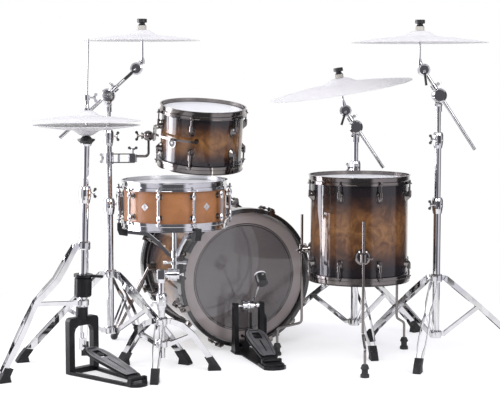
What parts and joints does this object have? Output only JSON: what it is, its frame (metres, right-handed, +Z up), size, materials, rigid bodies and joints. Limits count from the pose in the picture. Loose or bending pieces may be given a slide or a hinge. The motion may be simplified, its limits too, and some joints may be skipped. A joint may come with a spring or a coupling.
{
  "type": "acoustic drum kit",
  "caption": "Acoustic drum kit: bass drum with pedal, rack tom, floor tom, snare drum on its stand, hi-hat and cymbals on boom stands.",
  "frame": {"origin": "near the middle of the bass pedal's base plate, on its underside, at floor level", "axes": "+Z up, -Y towards the drummer, +X to the right as the drummer faces the kit"},
  "size_m": [1.9592, 1.2164, 1.2715],
  "materials": {
    "burst_lacquer": "figured wood under gloss burst lacquer",
    "black_lacquer": "gloss black lacquer",
    "maple": "satin natural wood",
    "black_nickel": "polished black nickel plating",
    "chrome": "bright chrome plating",
    "coated_head": "coated white drum film",
    "clear_head": "clear smoked drum film",
    "black_steel": "black painted metal",
    "rubber": "moulded black rubber",
    "cymbal": "pale translucent look over bronze",
    "beater": "hard beater block",
    "steel_wire": "coiled steel wire"
  },
  "bodies": {
    "kit": {"bass_shell": "burst_lacquer", "bass_heads": "clear_head", "bass_hoops": "black_lacquer", "bass_claws": "black_nickel", "bass_lugs": "black_nickel", "bass_spur_brackets": "black_nickel", "floor_tom_shell": "burst_lacquer", "floor_tom_rims": "black_nickel", "floor_tom_heads": "coated_head", "floor_tom_lugs": "black_nickel", "floor_tom_brackets": "black_nickel", "left_stand_base": "chrome", "stand_feet": "rubber", "middle_stand_base": "chrome", "right_stand_base": "chrome", "tom_clamp": "chrome", "hihat_frame": "black_steel", "hihat_base": "chrome", "bass_pedal_frame": "black_steel", "snare_stand_base": "chrome"},
    "left_tube": {"left_stand_tube": "chrome"},
    "left_boom": {"left_boom": "chrome"},
    "left_cymbal": {"left_cymbal": "cymbal"},
    "middle_tube": {"middle_stand_tube": "chrome"},
    "middle_boom": {"middle_boom": "chrome"},
    "middle_cymbal": {"middle_cymbal": "cymbal"},
    "right_tube": {"right_stand_tube": "chrome"},
    "right_boom": {"right_boom": "chrome"},
    "right_cymbal": {"right_cymbal": "cymbal"},
    "hihat_board": {"hihat_footboard": "black_steel"},
    "hihat_rod": {"hihat_pull_rod": "chrome", "hihat_clutch": "chrome", "hihat_top_cymbal": "cymbal"},
    "hihat_tube": {"hihat_upper_tube": "chrome", "hihat_bottom_cymbal": "cymbal"},
    "bass_board": {"bass_pedal_footboard": "black_steel"},
    "beater": {"bass_pedal_beater": "chrome", "bass_beater_head": "beater"},
    "snare_tube": {"snare_stand_tube": "chrome"},
    "snare_drum": {"snare_basket": "chrome", "snare_basket_grips": "rubber", "snare_shell": "maple", "snare_rims": "chrome", "snare_heads": "coated_head", "snare_lugs": "chrome", "snare_throw_off": "chrome", "snare_butt": "chrome", "snare_wires": "steel_wire"},
    "throw_lever": {"snare_throw_lever": "chrome"},
    "tom_arm": {"tom_arm": "black_nickel"},
    "rack_tom": {"rack_tom_shell": "burst_lacquer", "rack_tom_rims": "black_nickel", "rack_tom_heads": "coated_head", "rack_tom_lugs": "black_nickel", "rack_tom_hanger": "black_nickel"},
    "leg_front": {"floor_tom_leg_front": "black_nickel"},
    "leg_right": {"floor_tom_leg_right": "black_nickel"},
    "leg_left": {"floor_tom_leg_left": "black_nickel"},
    "spur_left": {"bass_spur_left": "black_nickel"},
    "spur_right": {"bass_spur_right": "black_nickel"}
  },
  "joints": [
    {"name": "left_tube_slide", "type": "slide", "parent": "kit", "child": "left_tube", "axis": [0, 0, 1], "range_m": [-0.05, 0.15]},
    {"name": "left_boom_tilt", "type": "hinge", "parent": "left_tube", "child": "left_boom", "pos_m": [-0.586, 0.096, 0.986], "axis": [0, 1, 0], "range_deg": [-15, 15]},
    {"name": "left_cymbal_spin", "type": "hinge", "parent": "left_boom", "child": "left_cymbal", "pos_m": [-0.455, 0.074, 1.2115], "axis": [0, 0, 1], "continuous": true},
    {"name": "middle_tube_slide", "type": "slide", "parent": "kit", "child": "middle_tube", "axis": [0, 0, 1], "range_m": [-0.04, 0.06]},
    {"name": "middle_boom_tilt", "type": "hinge", "parent": "middle_tube", "child": "middle_boom", "pos_m": [0.362, 0.33, 0.859], "axis": [0, 1, 0], "range_deg": [-8, 15]},
    {"name": "middle_cymbal_spin", "type": "hinge", "parent": "middle_boom", "child": "middle_cymbal", "pos_m": [0.29963, 0.30382, 1.02932], "axis": [-0.1601, -0.05, 0.9858], "continuous": true},
    {"name": "right_tube_slide", "type": "slide", "parent": "kit", "child": "right_tube", "axis": [0, 0, 1], "range_m": [-0.05, 0.15]},
    {"name": "right_boom_tilt", "type": "hinge", "parent": "right_tube", "child": "right_boom", "pos_m": [0.656, 0.094, 0.987], "axis": [0, 1, 0], "range_deg": [-15, 15]},
    {"name": "right_cymbal_spin", "type": "hinge", "parent": "right_boom", "child": "right_cymbal", "pos_m": [0.58, 0.072, 1.207], "axis": [0, 0, 1], "continuous": true},
    {"name": "hihat_footboard_hinge", "type": "hinge", "parent": "kit", "child": "hihat_board", "pos_m": [-0.44109, -0.43442, 0.024], "axis": [-0.7096, -0.7046, 0], "range_deg": [0, 2.63], "stiffness_Nm_per_rad": 2, "springref_deg": -17.19},
    {"name": "hihat_rod_slide", "type": "slide", "parent": "kit", "child": "hihat_rod", "axis": [-0.0332, 0, -0.9995], "range_m": [0, 0.0135]},
    {"name": "hihat_tube_slide", "type": "slide", "parent": "kit", "child": "hihat_tube", "axis": [0.0332, 0, 0.9995], "range_m": [-0.06, 0]},
    {"name": "bass_footboard_hinge", "type": "hinge", "parent": "kit", "child": "bass_board", "pos_m": [0.02523, -0.13573, 0.024], "axis": [-0.9537, -0.3007, 0], "range_deg": [0, 7], "stiffness_Nm_per_rad": 4, "springref_deg": -22.92},
    {"name": "bass_beater_swing", "type": "hinge", "parent": "kit", "child": "beater", "pos_m": [-0.05957, 0.13322, 0.181], "axis": [-0.9537, -0.3007, 0], "range_deg": [0, 60]},
    {"name": "snare_tube_slide", "type": "slide", "parent": "kit", "child": "snare_tube", "axis": [0, 0, 1], "range_m": [-0.03, 0]},
    {"name": "snare_basket_tilt", "type": "hinge", "parent": "snare_tube", "child": "snare_drum", "pos_m": [-0.37, -0.214, 0.354], "axis": [-1, 0, 0], "range_deg": [0, 7]},
    {"name": "snare_throw_lever_hinge", "type": "hinge", "parent": "snare_drum", "child": "throw_lever", "pos_m": [-0.51623, -0.20382, 0.589], "axis": [-0.0523, -0.9986, 0], "range_deg": [0, 90]},
    {"name": "tom_arm_slide", "type": "slide", "parent": "kit", "child": "tom_arm", "axis": [0.9985, -0.0547, 0], "range_m": [-0.03, 0.01]},
    {"name": "rack_tom_tilt", "type": "hinge", "parent": "tom_arm", "child": "rack_tom", "pos_m": [-0.436, 0.092, 0.835], "axis": [-1, 0, 0], "range_deg": [0, 8]},
    {"name": "floor_tom_leg_front_slide", "type": "slide", "parent": "kit", "child": "leg_front", "axis": [0, 0, 1], "range_m": [0, 0.05]},
    {"name": "floor_tom_leg_right_slide", "type": "slide", "parent": "kit", "child": "leg_right", "axis": [0, 0, 1], "range_m": [0, 0.05]},
    {"name": "floor_tom_leg_left_slide", "type": "slide", "parent": "kit", "child": "leg_left", "axis": [0, 0, 1], "range_m": [0, 0.05]},
    {"name": "bass_spur_left_fold", "type": "hinge", "parent": "kit", "child": "spur_left", "pos_m": [-0.45859, 0.39212, 0.2911], "axis": [0.9135, 0.4067, 0], "range_deg": [0, 60]},
    {"name": "bass_spur_right_fold", "type": "hinge", "parent": "kit", "child": "spur_right", "pos_m": [0.04203, 0.61501, 0.2911], "axis": [0.9135, 0.4067, 0], "range_deg": [0, 60]}
  ],
  "couplings": [
    {"joint": "hihat_rod_slide", "follows": "hihat_footboard_hinge", "m_per_rad": 0.29303},
    {"joint": "bass_beater_swing", "follows": "bass_footboard_hinge", "ratio": 8.5543}
  ]
}
